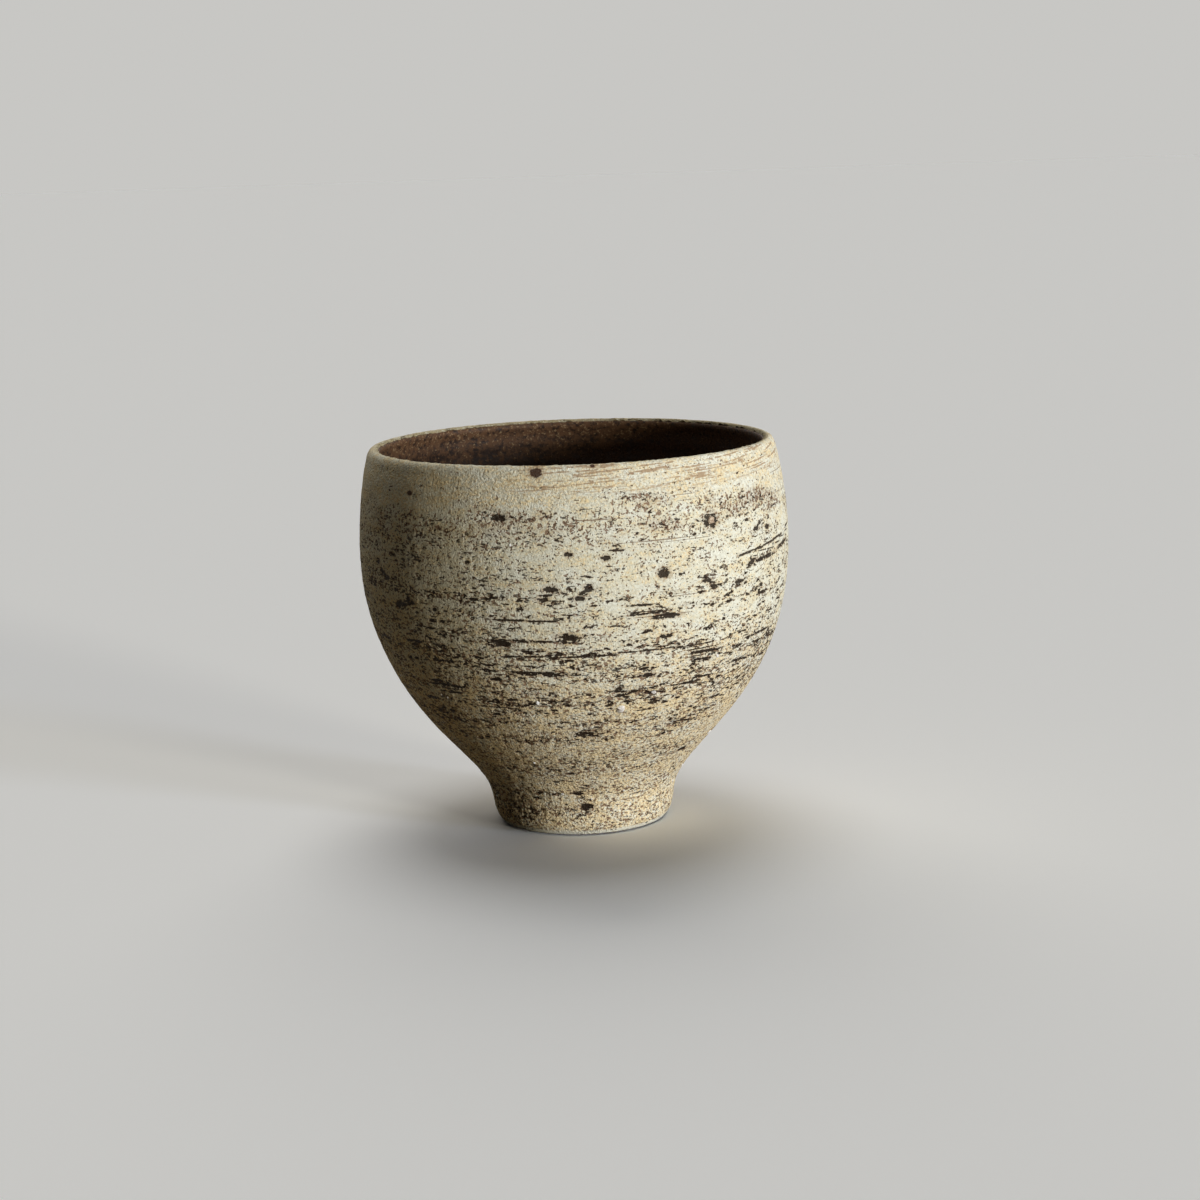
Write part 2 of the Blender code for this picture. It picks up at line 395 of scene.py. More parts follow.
class Net:
    """Adds nodes to a tree. Any input takes a value or another node's socket."""

    def __init__(self, tree):
        self.tree = tree

    def put(self, kind, inputs=None, out=0, **settings):
        node = self.tree.nodes.new(kind)
        for key, value in settings.items():
            setattr(node, key, value)
        for key, value in (inputs or {}).items():
            if isinstance(value, bpy.types.NodeSocket):
                self.tree.links.new(value, node.inputs[key])
            else:
                node.inputs[key].default_value = value
        return node.outputs[out]

    def math(self, operation, *values):
        return self.put("ShaderNodeMath", dict(enumerate(values)), operation=operation)

    def scaled(self, place, sizes):
        """Places measured in features of these sizes, in millimetres."""
        factors = tuple(1 / (size * MM) for size in sizes)
        return self.put("ShaderNodeVectorMath", {0: place, 1: factors}, operation="MULTIPLY")

    def noise(self, place, sizes, detail=2.0, roughness=0.5, shift=0.0, distortion=0.0):
        moved = self.scaled(place, sizes)
        if shift:
            moved = self.put("ShaderNodeVectorMath", {0: moved, 1: (shift,) * 3}, operation="ADD")
        settings = {"Vector": moved, "Scale": 1.0, "Detail": detail, "Roughness": roughness}
        settings["Distortion"] = distortion
        return self.put("ShaderNodeTexNoise", settings)

    def ramp(self, value, low, high, to_low=0.0, to_high=1.0):
        inputs = {"Value": value, 1: low, 2: high, 3: to_low, 4: to_high}
        return self.put("ShaderNodeMapRange", inputs, interpolation_type="SMOOTHSTEP")

    def mix(self, share, first, second, blend="MIX"):
        inputs = {0: share, 6: first, 7: second}
        return self.put("ShaderNodeMix", inputs, 2, data_type="RGBA", blend_type=blend)


def group(name, kind, inputs, outputs):
    """A node group, its net, and its input sockets by name."""
    tree = bpy.data.node_groups.new(name, kind)
    for way, sockets in (("INPUT", inputs), ("OUTPUT", outputs)):
        for socket in sockets:
            what = SOCKET_KINDS.get(socket, "NodeSocketFloat")
            tree.interface.new_socket(socket, in_out=way, socket_type=what)
    net = Net(tree)
    given = tree.nodes.new("NodeGroupInput")
    return tree, net, {socket: given.outputs[socket] for socket in inputs}


def close_group(tree, results):
    end = tree.nodes.new("NodeGroupOutput")
    for name, socket in results.items():
        tree.links.new(socket, end.inputs[name])
    return tree


def torn_slip(kind):
    """Where the tool and the drying tore the slip, by place on the cup."""
    outputs = ["Torn", "Stain", "Hook", "Freckle", "Pepper", "Line", "Tan", "Crumb"]
    tree, net, given = group("torn slip", kind, ["Place"], outputs)
    place = given["Place"]
    height = net.put("ShaderNodeSeparateXYZ", {0: place}, 2)
    side = net.put("ShaderNodeSeparateXYZ", {0: place}, 0)
    under_neck = net.ramp(height, 73 * MM, 67 * MM)
    middle = net.math("MULTIPLY", under_neck, net.ramp(height, 36 * MM, 50 * MM, 0.35))
    left = net.math("MULTIPLY", net.ramp(side, 8 * MM, -24 * MM), middle)
    low = net.ramp(height, 66 * MM, 36 * MM)
    belly = net.ramp(height, 68 * MM, 50 * MM)
    foot = net.ramp(height, 36 * MM, 20 * MM)
    drift = net.noise(place, (14, 14, 9), 1.0, shift=1.0)
    edge = net.math("MULTIPLY_ADD", net.math("SUBTRACT", drift, 0.5), 9.0 * MM, height)
    neck = net.ramp(edge, 77.2 * MM, 75.0 * MM)
    frill = net.math("MULTIPLY", neck, net.ramp(edge, 66.0 * MM, 74.0 * MM))
    patch = net.noise(place, (10, 10, 4), 2.0)
    band = net.noise(place, (60, 60, 1.8), 1.0, shift=7.0)
    crumb = net.noise(place, (0.75, 0.75, 0.62), 2.0, shift=3.0)

    dark = net.math("MULTIPLY", net.noise(place, (2.5, 2.5, 0.82), 2.0), 0.70)
    dark = net.math("MULTIPLY_ADD", crumb, 0.30, dark)
    dark = net.math("MULTIPLY_ADD", patch, 0.10, dark)
    dark = net.math("MULTIPLY_ADD", band, 0.16, dark)
    dark = net.math("MULTIPLY_ADD", belly, 0.05, dark)
    dark = net.math("MULTIPLY_ADD", neck, 0.05, dark)
    dark = net.math("MULTIPLY_ADD", foot, -0.045, dark)
    torn = net.ramp(dark, 0.822, 0.838)
    smudge = net.math("MULTIPLY", frill, net.ramp(patch, 0.43, 0.60, 0.0, 0.65))
    stain = net.math("MAXIMUM", net.ramp(dark, 0.755, 0.825), smudge)

    busy = net.math("MULTIPLY", patch, 0.14)
    busy = net.math("MULTIPLY_ADD", band, 0.16, busy)
    busy = net.math("MULTIPLY_ADD", low, 0.04, busy)
    busy = net.math("MULTIPLY_ADD", neck, 0.043, busy)
    busy = net.math("MULTIPLY_ADD", frill, 0.03, busy)
    busy = net.math("MULTIPLY_ADD", left, 0.045, busy)

    dash = net.noise(place, (1.5, 1.5, 0.58), 2.0, shift=43.0)
    dash = net.math("ADD", dash, net.math("MULTIPLY_ADD", belly, 0.02, busy))
    dash = net.math("MULTIPLY_ADD", foot, -0.02, dash)
    torn = net.math("MAXIMUM", torn, net.ramp(dash, 0.87, 0.895, 0.0, 0.9))

    vein = net.noise(place, (1.7, 1.7, 1.0), 1.0, 0.5, 19.0, 0.5)
    vein = net.math("ABSOLUTE", net.math("SUBTRACT", vein, 0.5))
    where = net.math("ADD", net.noise(place, (2.6, 2.6, 1.1), 1.0, shift=23.0), busy)
    where = net.math("MULTIPLY_ADD", foot, -0.08, where)
    where = net.math("MULTIPLY_ADD", frill, -0.05, where)
    hook = net.math("MULTIPLY", net.ramp(vein, 0.09, 0.045), net.ramp(where, 0.87, 0.91))
    dot = net.noise(place, (0.85, 0.85, 0.62), 1.0, shift=11.0)
    dot = net.math("ADD", dot, net.math("MULTIPLY_ADD", low, 0.03, busy))
    freckle = net.ramp(dot, 0.85, 0.905)
    speck = net.noise(place, (0.55, 0.55, 0.45), 1.0, shift=29.0)
    drag = net.noise(place, (0.66, 0.66, 0.95), 1.0, shift=31.0)
    drag = net.math("MULTIPLY_ADD", patch, 0.22, net.math("MULTIPLY_ADD", frill, 0.12, drag))
    drag = net.math("MULTIPLY_ADD", speck, 0.6, drag)
    freckle = net.math("MAXIMUM", freckle, net.math("MULTIPLY", net.ramp(drag, 1.095, 1.165), neck))
    pepper = net.ramp(net.math("ADD", speck, busy), 0.855, 0.91)

    hair = net.noise(place, (34, 34, 0.42), 1.0, 0.4, shift=5.0)
    hair = net.math("MULTIPLY_ADD", drift, 0.35, hair)
    line = net.ramp(hair, 0.93, 0.965)
    results = {"Torn": torn, "Hook": hook, "Freckle": freckle, "Pepper": pepper}
    tan = net.ramp(height, 54 * MM, 26 * MM)
    tan = net.math("MULTIPLY_ADD", net.math("SUBTRACT", 1.0, neck), 0.4, tan)
    results |= {"Stain": stain, "Line": line, "Tan": tan, "Crumb": crumb}
    return close_group(tree, results)


def geometry_tree(name):
    tree = bpy.data.node_groups.new(name, "GeometryNodeTree")
    tree.is_modifier = True
    for way in ("INPUT", "OUTPUT"):
        tree.interface.new_socket("Geometry", in_out=way, socket_type="NodeSocketGeometry")
    net = Net(tree)
    start = tree.nodes.new("NodeGroupInput").outputs[0]
    return tree, net, start


def hand_wobble(net, place):
    """How far the thrower's hand let the wall stray, outwards from the axis."""
    stray = net.math("SUBTRACT", net.noise(place, (46, 46, 30), 1.0, shift=2.0), 0.5)
    flat = net.put("ShaderNodeVectorMath", {0: place, 1: (1, 1, 0)}, operation="MULTIPLY")
    out = net.put("ShaderNodeVectorMath", {0: flat}, operation="NORMALIZE")
    far = net.math("MULTIPLY", stray, 0.9 * MM)
    return net.put("ShaderNodeVectorMath", {0: out, 3: far}, operation="SCALE")


def shape_by_nodes(piece, name, relief):
    """Moves a piece's surface by a field of nodes, and applies it."""
    tree, net, start = geometry_tree(name)
    place = net.put("GeometryNodeInputPosition")
    normal = net.put("GeometryNodeInputNormal")
    moves = [hand_wobble(net, place)] + relief(net, place, normal)
    whole = moves[0]
    for move in moves[1:]:
        whole = net.put("ShaderNodeVectorMath", {0: whole, 1: move}, operation="ADD")
    moved = net.put("GeometryNodeSetPosition", {"Geometry": start, "Offset": whole})
    end = tree.nodes.new("NodeGroupOutput")
    tree.links.new(moved, end.inputs[0])
    bpy.ops.object.select_all(action="DESELECT")
    piece.select_set(True)
    bpy.context.view_layer.objects.active = piece
    modifier = piece.modifiers.new(name, "NODES")
    modifier.node_group = tree
    bpy.ops.object.modifier_apply(modifier=modifier.name)


def noted(net, note):
    return net.put("GeometryNodeInputNamedAttribute", {"Name": note}, data_type="FLOAT")


def along_normal(net, normal, far):
    return net.put("ShaderNodeVectorMath", {0: normal, 3: far}, operation="SCALE")


# The slip, from its ragged edge inside the lip to its hem above the table
coat = section("slip_coat")
slip_face = coat[: len(coat) // 2][::-1]
face = even_line(slip_face, SKIN_STEP)
back = (face + SKIN_DEPTH * into_clay(face))[::-1]
back = np.concatenate([back[:1], back[BACK_SKIP:-BACK_SKIP:BACK_SKIP], back[-1:]])
skin_rows = np.concatenate([face, back])
face_along = distances(face)
back_along = np.full(len(back), -1.0)
fade = np.clip(np.minimum(face_along, face_along[-1] - face_along) / EDGE_FADE, 0, 1)
lap = np.clip(1 - face_along / LAP_FADE, 0, 1)
back_lap = np.zeros(len(back))
back_lap[-1] = 1
skin = turned(
    "slip_skin",
    skin_rows,
    SKIN_COLUMNS,
    {
        "along": np.concatenate([face_along, back_along]),
        "proud": np.concatenate([fade, np.zeros(len(back))]),
        "lap": np.concatenate([lap, back_lap]),
    },
)


def strewn_streaks():
    chance = random.Random(STREAK_SEED)
    streaks = []
    for _ in range(STREWN_STREAKS):
        start = chance.uniform(0, 360)
        end = start + chance.choice(STREAK_TURNS) * chance.uniform(*SIZE_SPREAD)
        height = chance.triangular(*STREAK_HEIGHTS)
        lift = chance.uniform(-STREAK_LIFT, STREAK_LIFT)
        streaks.append((start, end, height, height + lift, chance.uniform(*STREAK_THICKNESSES)))
    return streaks


def broken(streaks):
    """Streaks as the shorter, tapered runs that the tool left where it skipped."""
    chance = random.Random(RUN_SEED)
    runs = []
    for start, end, low, high, thickness in streaks:
        count = max(1, round((end - start) / STREAK_RUN))
        for i in range(count):
            shares = np.array((i, i + chance.uniform(*RUN_SHARES))) / count
            turns = start + (end - start) * shares
            drift = chance.uniform(-RUN_DRIFT, RUN_DRIFT)
            heights = low + (high - low) * shares + drift
            runs.append((*turns, *heights, thickness * chance.uniform(*RUN_THICKNESSES)))
    return runs


def by_standout(turn, height):
    """Whether a place is so close to a standout pit that a mark there would hide its shape."""
    for there, level, length, _ in STANDOUT_PITS.values():
        across = math.radians((turn - there + 180) % 360 - 180) * cad_box[1].x / MM
        if math.hypot(across, height - level) < KEPT_CLEAR * length:
            return True
    return False


def strewn_pits():
    """Pits by chance, in clusters where the tool dragged coarse grit along."""
    chance = random.Random(PIT_SEED)
    pits = []
    for _ in range(STREWN_CLUSTERS):
        middle = chance.uniform(0, 360)
        height = chance.triangular(*PIT_HEIGHTS)
        for _ in range(chance.choice(CLUSTER_PITS)):
            turn = chance.gauss(middle, CLUSTER_REACH[0])
            up = chance.gauss(height, CLUSTER_REACH[1])
            length = chance.choice(PIT_LENGTHS) * chance.uniform(*SIZE_SPREAD)
            pits.append((turn, up, length, length * chance.uniform(*PIT_SHAPES)))
    return [pit for pit in pits if not by_standout(*pit[:2])]


def mark_slip(piece):
    """Notes on the mesh how far each vertex is from the nearest streak and pit."""
    places = vertex_places(piece)
    along = vertex_values(piece, "along")
    turn = np.degrees(np.arctan2(places[:, 0], -places[:, 1]))
    outside = int(np.argmax(face[:, 1]))
    heights = face[outside:, 1][::-1]
    at_height = face_along[outside:][::-1]
    depth = np.zeros(len(places))
    streaks = [
        ((a + b) / 2, (b - a) / 2, (z0 + z1) / 2, (z1 - z0) / 2, thickness, PIT_KIND)
        for a, b, z0, z1, thickness in broken([*STANDOUT_STREAKS.values(), *strewn_streaks()])
    ]
    torn_pits = [*STANDOUT_PITS.values(), *strewn_pits()]
    pits = [(a, None, z, 0.0, size, PIT_KIND) for a, z, *size in torn_pits]
    pits += [(a, None, z, 0.0, size, IRON_KIND) for a, z, *size in IRON_SPOTS.values()]
    for note, marks in (("streak_mark", streaks), ("pit_mark", pits)):
        field = np.full((len(places), 3), FAR_OFF)
        field[:, 2] = 0
        nearest = np.full(len(places), np.inf)
        for middle, half_turn, height, rise, size, sort in marks:
            there = np.interp(height * MM, heights, at_height)
            local = np.interp(there, face_along, face[:, 0])
            if half_turn is None:
                half_length, half_width = size[0] / 2 * MM, size[1] / 2 * MM
            else:
                half_length, half_width = math.radians(half_turn) * local, size / 2 * MM
            across = np.radians((turn - middle + 180) % 360 - 180) * local
            up = along - there
            up = up + rise * MM * across / half_length
            close = (along >= 0) & (np.abs(across) < half_length + MARK_MARGIN)
            close &= np.abs(up) < half_width + MARK_MARGIN
            a, b = across / half_length, up / half_width
            reach = np.hypot(a, b)
            won = close & (reach < nearest)
            nearest[won] = reach[won]
            field[won] = np.column_stack([a, b, np.full(len(a), sort)])[won]
            if sort == IRON_KIND:
                continue
            soft = np.clip(DENT_REACH - np.hypot(a, np.abs(up) / max(half_width, LEAST_DENT)), 0, 1)
            depth = np.maximum(depth, np.where(close, soft * min(1, half_width / DEEP_DENT), 0))
        layer = piece.data.attributes.new(note, "FLOAT_VECTOR", "POINT")
        layer.data.foreach_set("vector", field.astype(np.float32).ravel())
    layer = piece.data.attributes.new("pit_depth", "FLOAT", "POINT")
    layer.data.foreach_set("value", depth.astype(np.float32))


mark_slip(skin)


def slip_relief(net, place, normal):
    proud = noted(net, "proud")
    torn_group = torn_slip("GeometryNodeTree")
    field = net.tree.nodes.new("GeometryNodeGroup")
    field.node_tree = torn_group
    net.tree.links.new(place, field.inputs["Place"])
    ridges = net.noise(place, (70, 70, 1.3), 2.0, 0.6, shift=4.0)
    sand = net.noise(place, (1.6, 1.6, 1.3), 2.0, 0.6, shift=9.0)
    far = net.math("MULTIPLY", net.math("SUBTRACT", ridges, 0.5), 0.10 * MM)
    far = net.math("MULTIPLY_ADD", net.math("SUBTRACT", sand, 0.5), 0.24 * MM, far)
    far = net.math("MULTIPLY_ADD", field.outputs["Torn"], -0.20 * MM, far)
    far = net.math("MULTIPLY_ADD", noted(net, "pit_depth"), -0.34 * MM, far)
    far = net.math("MULTIPLY", far, proud)
    ragged = net.noise(place, (1.7, 1.7, 1.7), 3.0, 0.6, shift=6.0)
    ragged = net.math("SUBTRACT", ragged, 0.5)
    ragged = net.math("MULTIPLY", net.math("MULTIPLY", ragged, 2.6 * MM), noted(net, "lap"))
    down = net.put("ShaderNodeCombineXYZ", {2: ragged})
    return [along_normal(net, normal, far), down]


shape_by_nodes(skin, "slip relief", slip_relief)

# The lining, from the middle of the floor up and on under the edge of the slip
glaze = section("inner_glaze")
glaze_face = glaze[: len(glaze) // 2]
under = (face + TUCK_DEPTH * into_clay(face))[(face_along > TUCK_START) & (face_along < TUCK_REACH)]
lining_face = np.concatenate([even_line(glaze_face, LINING_STEP), under])
lining_back = lining_face + LINING_DEPTH * into_clay(lining_face)
lining_back[0] = lining_face[0] - (0, LINING_DEPTH)
lining_back = lining_back[::-1][::LINING_SKIP]
if lining_back[-1][0] > WELD:
    lining_back = np.concatenate([lining_back, [lining_face[0] - (0, LINING_DEPTH)]])
lining_along = distances(lining_face)
lining_fade = np.clip((lining_along[-1] - lining_along) / LINING_FADE, 0, 1)
lining = turned(
    "glaze_lining",
    np.concatenate([lining_face, lining_back]),
    LINING_COLUMNS,
    {
        "along": np.concatenate([lining_along, np.full(len(lining_back), -1.0)]),
        "proud": np.concatenate([lining_fade, np.zeros(len(lining_back))]),
    },
)


def lining_relief(net, place, normal):
    """Throwing rings that climb the wall in one long spiral."""
    parts = net.tree.nodes.new("ShaderNodeSeparateXYZ")
    net.tree.links.new(place, parts.inputs[0])
    angle = net.math("ARCTAN2", parts.outputs[1], parts.outputs[0])
    climb = net.math("MULTIPLY", noted(net, "along"), math.tau / (5.2 * MM))
    slow = net.math("MULTIPLY", net.noise(place, (30, 30, 12), 1.0), 5.0)
    wave = net.math("SINE", net.math("ADD", net.math("SUBTRACT", climb, angle), slow))
    dents = net.math("SUBTRACT", net.noise(place, (7, 7, 5), 2.0), 0.5)
    far = net.math("MULTIPLY", wave, 0.10 * MM)
    far = net.math("MULTIPLY_ADD", dents, 0.25 * MM, far)
    return [along_normal(net, normal, net.math("MULTIPLY", far, noted(net, "proud")))]


shape_by_nodes(lining, "throwing rings", lining_relief)

# The clay bowl, whose underside shows in the hollow of the foot
bowl_rows = even_line(section("clay_bowl"), BOWL_STEP)
bowl = turned("thrown_bowl", bowl_rows, BOWL_COLUMNS, {"along": distances(bowl_rows)})


def trimmed_relief(net, place, normal):
    """Fine rings left by trimming, closer to a spiral than to circles."""
    parts = net.tree.nodes.new("ShaderNodeSeparateXYZ")
    net.tree.links.new(place, parts.inputs[0])
    angle = net.math("ARCTAN2", parts.outputs[1], parts.outputs[0])
    climb = net.math("MULTIPLY", noted(net, "along"), math.tau / (1.5 * MM))
    wave = net.math("SINE", net.math("ADD", climb, angle))
    chatter = net.math("SUBTRACT", net.noise(place, (1.6, 1.6, 1.6), 2.0), 0.5)
    far = net.math("MULTIPLY_ADD", wave, 0.03 * MM, net.math("MULTIPLY", chatter, 0.14 * MM))
    far = net.math("MULTIPLY", far, net.ramp(parts.outputs[2], 0.1 * MM, 0.9 * MM))
    return [along_normal(net, normal, far)]


shape_by_nodes(bowl, "trimming rings", trimmed_relief)

# The foot ring, with its worn edges rounded
ring = section("foot_ring")
ring_rows = even_line(np.concatenate([ring, ring[:1]]), FOOT_STEP)[:-1]
foot = turned("turned_foot", ring_rows, FOOT_COLUMNS, {"along": distances(ring_rows)})
worn = foot.modifiers.new("Worn edges", "BEVEL")
worn.width = FOOT_EDGE
worn.segments = 3
worn.limit_method = "ANGLE"
worn.angle_limit = CORNER_TURN
bpy.ops.object.modifier_apply(modifier=worn.name)
shape_by_nodes(foot, "foot rings", trimmed_relief)


def strewn_grains():
    chance = random.Random(GRAIN_SEED)
    grains = []
    for _ in range(STREWN_GRAINS):
        fall = GRAIN_FALL * math.sqrt(chance.uniform(0.01, 1))
        breadth = chance.choice(GRAIN_BREADTHS) * chance.uniform(*GRAIN_SPREAD)
        grains.append((chance.uniform(0, 360), GRAIN_TOP - fall, breadth))
    return grains


def sown_grains():
    """Feldspar grains and one brown core, each half sunk in the slip where it lies."""
    chance = random.Random(GRAIN_TURN_SEED)
    outside = vertex_values(skin, "along") > GRAIN_FROM_LIP
    places = vertex_places(skin)[outside]
    normals = np.zeros(len(skin.data.vertices) * 3, np.float32)
    skin.data.vertex_normals.foreach_get("vector", normals)
    normals = normals.reshape(-1, 3)[outside]
    turn = np.degrees(np.arctan2(places[:, 0], -places[:, 1]))
    bpy.ops.object.select_all(action="DESELECT")
    bpy.ops.mesh.primitive_ico_sphere_add(subdivisions=2, radius=GRAIN_RADIUS)
    grain = bpy.context.object
    bpy.ops.object.mode_set(mode="EDIT")
    bpy.ops.mesh.select_all(action="SELECT")
    bpy.ops.transform.vertex_random(offset=GRAIN_KNOCKS, uniform=0.7, seed=5)
    bpy.ops.object.mode_set(mode="OBJECT")
    copies = []
    for angle, height, breadth in [LARGE_GRAIN, *strewn_grains(), BURST_CORE]:
        round_way = np.radians((turn - angle + 180) % 360 - 180) * np.hypot(places[:, 0], places[:, 1])
        spot = np.argmin(np.hypot(round_way, places[:, 2] - height * MM))
        copy = grain.copy()
        copy.data = grain.data.copy()
        bpy.context.scene.collection.objects.link(copy)
        out = Vector(normals[spot])
        copy.rotation_mode = "QUATERNION"
        spin = Matrix.Rotation(chance.uniform(0, math.tau), 3, "Z").to_quaternion()
        copy.rotation_quaternion = out.to_track_quat("Z", "Y") @ spin
        copy.scale = [breadth * chance.uniform(*span) for span in GRAIN_SPANS]
        copy.location = Vector(places[spot]) - out * GRAIN_SINK * breadth * MM
        tint = copy.data.attributes.new("tint", "FLOAT", "POINT")
        is_core = (angle, height, breadth) == BURST_CORE
        brown = 1.0 if is_core else chance.choice(GRAIN_TINTS)
        tint.data.foreach_set("value", np.full(len(copy.data.vertices), brown, np.float32))
        copies.append(copy)
    bpy.data.objects.remove(grain)
    bpy.ops.object.select_all(action="DESELECT")
    for copy in copies:
        copy.select_set(True)
    bpy.context.view_layer.objects.active = copies[0]
    bpy.ops.object.transform_apply(location=True, rotation=True, scale=True)
    bpy.ops.object.join()
    piece = bpy.context.object
    piece.name = "feldspar_grains"
    piece.data.name = "feldspar_grains"
    return piece


grains = sown_grains()

for piece in (skin, lining, bowl, foot, grains):
    bpy.ops.object.select_all(action="DESELECT")
    piece.select_set(True)
    bpy.context.view_layer.objects.active = piece
    bpy.ops.object.shade_smooth_by_angle(angle=SMOOTH_ANGLE)


def material(name):
    made = bpy.data.materials.new(name)
    made.use_nodes = True
    net = Net(made.node_tree)
    shader = made.node_tree.nodes["Principled BSDF"]
    place = net.put("ShaderNodeTexCoord", out="Object")
    return made, net, shader, place


def connect(net, shader, socket, value):
    net.tree.links.new(value, shader.inputs[socket])


def brush_lines(net, place):
    """Thin brown lines that a brush left under the lip, rising to the right."""
    parts = net.tree.nodes.new("ShaderNodeSeparateXYZ")
    net.tree.links.new(place, parts.inputs[0])
    turn = net.math("ARCTAN2", parts.outputs[0], net.math("MULTIPLY", parts.outputs[1], -1.0))
    height = net.math("MULTIPLY_ADD", turn, -2.2 * MM, parts.outputs[2])
    across = net.math("MULTIPLY", turn, 4.0)
    up = net.math("MULTIPLY", height, 1 / (0.45 * MM))
    stroke = net.put("ShaderNodeCombineXYZ", {0: across, 1: up})
    bristle = net.put("ShaderNodeTexNoise", {"Vector": stroke, "Scale": 1.0, "Detail": 2.0})
    fleck = net.noise(place, (1.1, 1.1, 0.5), 2.0, shift=37.0)
    line = net.ramp(net.math("MULTIPLY_ADD", fleck, 0.45, bristle), 0.755, 0.84)
    inside = net.math("MULTIPLY", net.ramp(turn, -0.5, -0.1), net.ramp(turn, 1.6, 1.3))
    inside = net.math("MULTIPLY", inside, net.ramp(parts.outputs[2], 77.5 * MM, 80.0 * MM))
    return net.math("MULTIPLY", line, inside)


def slip_material():
    made, net, shader, place = material("pale_slip")
    field = net.tree.nodes.new("ShaderNodeGroup")
    field.node_tree = torn_slip("ShaderNodeTree")
    net.tree.links.new(place, field.inputs["Place"])
    crumb = field.outputs["Crumb"]
    drawn = net.noise(place, (1.9, 1.9, 0.4), 2.0, 0.6, shift=8.0)

    def mark(note, length_power, low, high, ragged):
        read = net.put("ShaderNodeAttribute", attribute_name=note, out="Vector")
        parts = net.tree.nodes.new("ShaderNodeSeparateXYZ")
        net.tree.links.new(read, parts.inputs[0])
        a = net.math("POWER", net.math("ABSOLUTE", parts.outputs[0]), length_power)
        b = net.math("POWER", net.math("ABSOLUTE", parts.outputs[1]), 2.0)
        reach = net.math("ADD", a, b)
        bite = net.ramp(parts.outputs[2], 1.4, 1.6, -ragged, -0.3 * ragged)
        reach = net.math("MULTIPLY_ADD", net.math("SUBTRACT", crumb, 0.5), bite, reach)
        reach = net.math("MULTIPLY_ADD", net.math("SUBTRACT", drawn, 0.5), bite, reach)
        there = net.ramp(parts.outputs[2], 0.9, 1.0)
        inside = net.math("MULTIPLY", net.ramp(reach, high, low), there)
        round_it = net.math("MULTIPLY", net.ramp(reach, high + 2.4, high), there)
        return inside, round_it, parts.outputs[2]

    streak, by_streak, _ = mark("streak_mark", 4.0, 0.75, 1.15, 4.2)
    pit, by_pit, sort = mark("pit_mark", 2.0, 0.85, 1.15, 3.6)
    iron = net.math("MULTIPLY", pit, net.ramp(sort, 1.4, 1.6))
    pit = net.math("SUBTRACT", pit, iron)
    torn = net.math("MAXIMUM", field.outputs["Torn"], net.math("MAXIMUM", streak, pit))

    grain = net.noise(place, (0.5, 0.5, 0.5), 2.0, 0.7, shift=13.0)
    cloud = net.noise(place, (5, 5, 2.4), 3.0, 0.6, shift=15.0)
    sand = net.noise(place, (0.6, 0.6, 0.45), 2.0, 0.7, shift=17.0)
    colour = net.mix(net.ramp(cloud, 0.3, 0.7), SLIP_PALE, SLIP_CREAM)
    tan = net.math("MULTIPLY_ADD", cloud, 0.5, sand)
    tan = net.math("MULTIPLY_ADD", field.outputs["Tan"], 0.16, tan)
    colour = net.mix(net.ramp(tan, 0.72, 1.05, 0.0, 0.9), colour, SLIP_TAN)
    # painted shade: the slip is darker where the sand grain lies low and lighter where it stands up
    sand_painted_shade = net.mix(net.ramp(grain, 0.3, 0.7), *SAND_PAINTED_SHADE)
    colour = net.mix(1.0, colour, sand_painted_shade, "MULTIPLY")
    # painted shade: dark brown in the hollows of the sand grain, in the tan zone
    painted_hollow_shade = net.math("MULTIPLY", net.ramp(grain, 0.50, 0.38), field.outputs["Tan"])
    colour = net.mix(net.math("MULTIPLY", painted_hollow_shade, 0.46), colour, SLIP_HOLLOW_SHADE)
    stain = net.math("MAXIMUM", field.outputs["Stain"], net.math("MAXIMUM", by_streak, by_pit))
    stain = net.math("MULTIPLY", stain, net.ramp(sand, 0.35, 0.6, 0.25, 0.62))
    colour = net.mix(stain, colour, SLIP_STAIN)
    colour = net.mix(net.math("MULTIPLY", field.outputs["Freckle"], 0.85), colour, SLIP_FRECKLE)
    colour = net.mix(net.math("MULTIPLY", field.outputs["Pepper"], 0.85), colour, SLIP_PEPPER)
    colour = net.mix(net.math("MULTIPLY", field.outputs["Line"], 0.75), colour, SLIP_FRECKLE)
    colour = net.mix(net.math("MULTIPLY", brush_lines(net, place), 0.85), colour, SLIP_BRUSH)
    along = net.put("ShaderNodeAttribute", attribute_name="along", out="Fac")
    lip = net.math("MULTIPLY", net.ramp(along, 1.4 * MM, 0.3 * MM), net.ramp(sand, 0.25, 0.55, 0.45, 0.9))
    colour = net.mix(lip, colour, SLIP_WASH)
    hem = net.ramp(along, face_along[-1] - 1.5 * MM, face_along[-1] - 0.6 * MM, 0.0, 0.8)
    colour = net.mix(hem, colour, SLIP_PALE)
    colour = net.mix(net.math("MULTIPLY", iron, 0.93), colour, SLIP_IRON)
    colour = net.mix(net.math("MULTIPLY", field.outputs["Hook"], 0.9), colour, SLIP_PEPPER)
    worn = net.math("MAXIMUM", torn, net.math("MULTIPLY", field.outputs["Hook"], 0.9))
    bare = net.ramp(net.put("ShaderNodeSeparateXYZ", {0: place}, 2), 45 * MM, 66 * MM, 0.97, 0.93)
    colour = net.mix(net.math("MULTIPLY", torn, bare), colour, SLIP_TORN)
    connect(net, shader, "Base Color", colour)
    rough = net.ramp(torn, 0.0, 1.0, 0.86, 0.72)
    connect(net, shader, "Roughness", rough)
    shader.inputs["Specular IOR Level"].default_value = 0.1

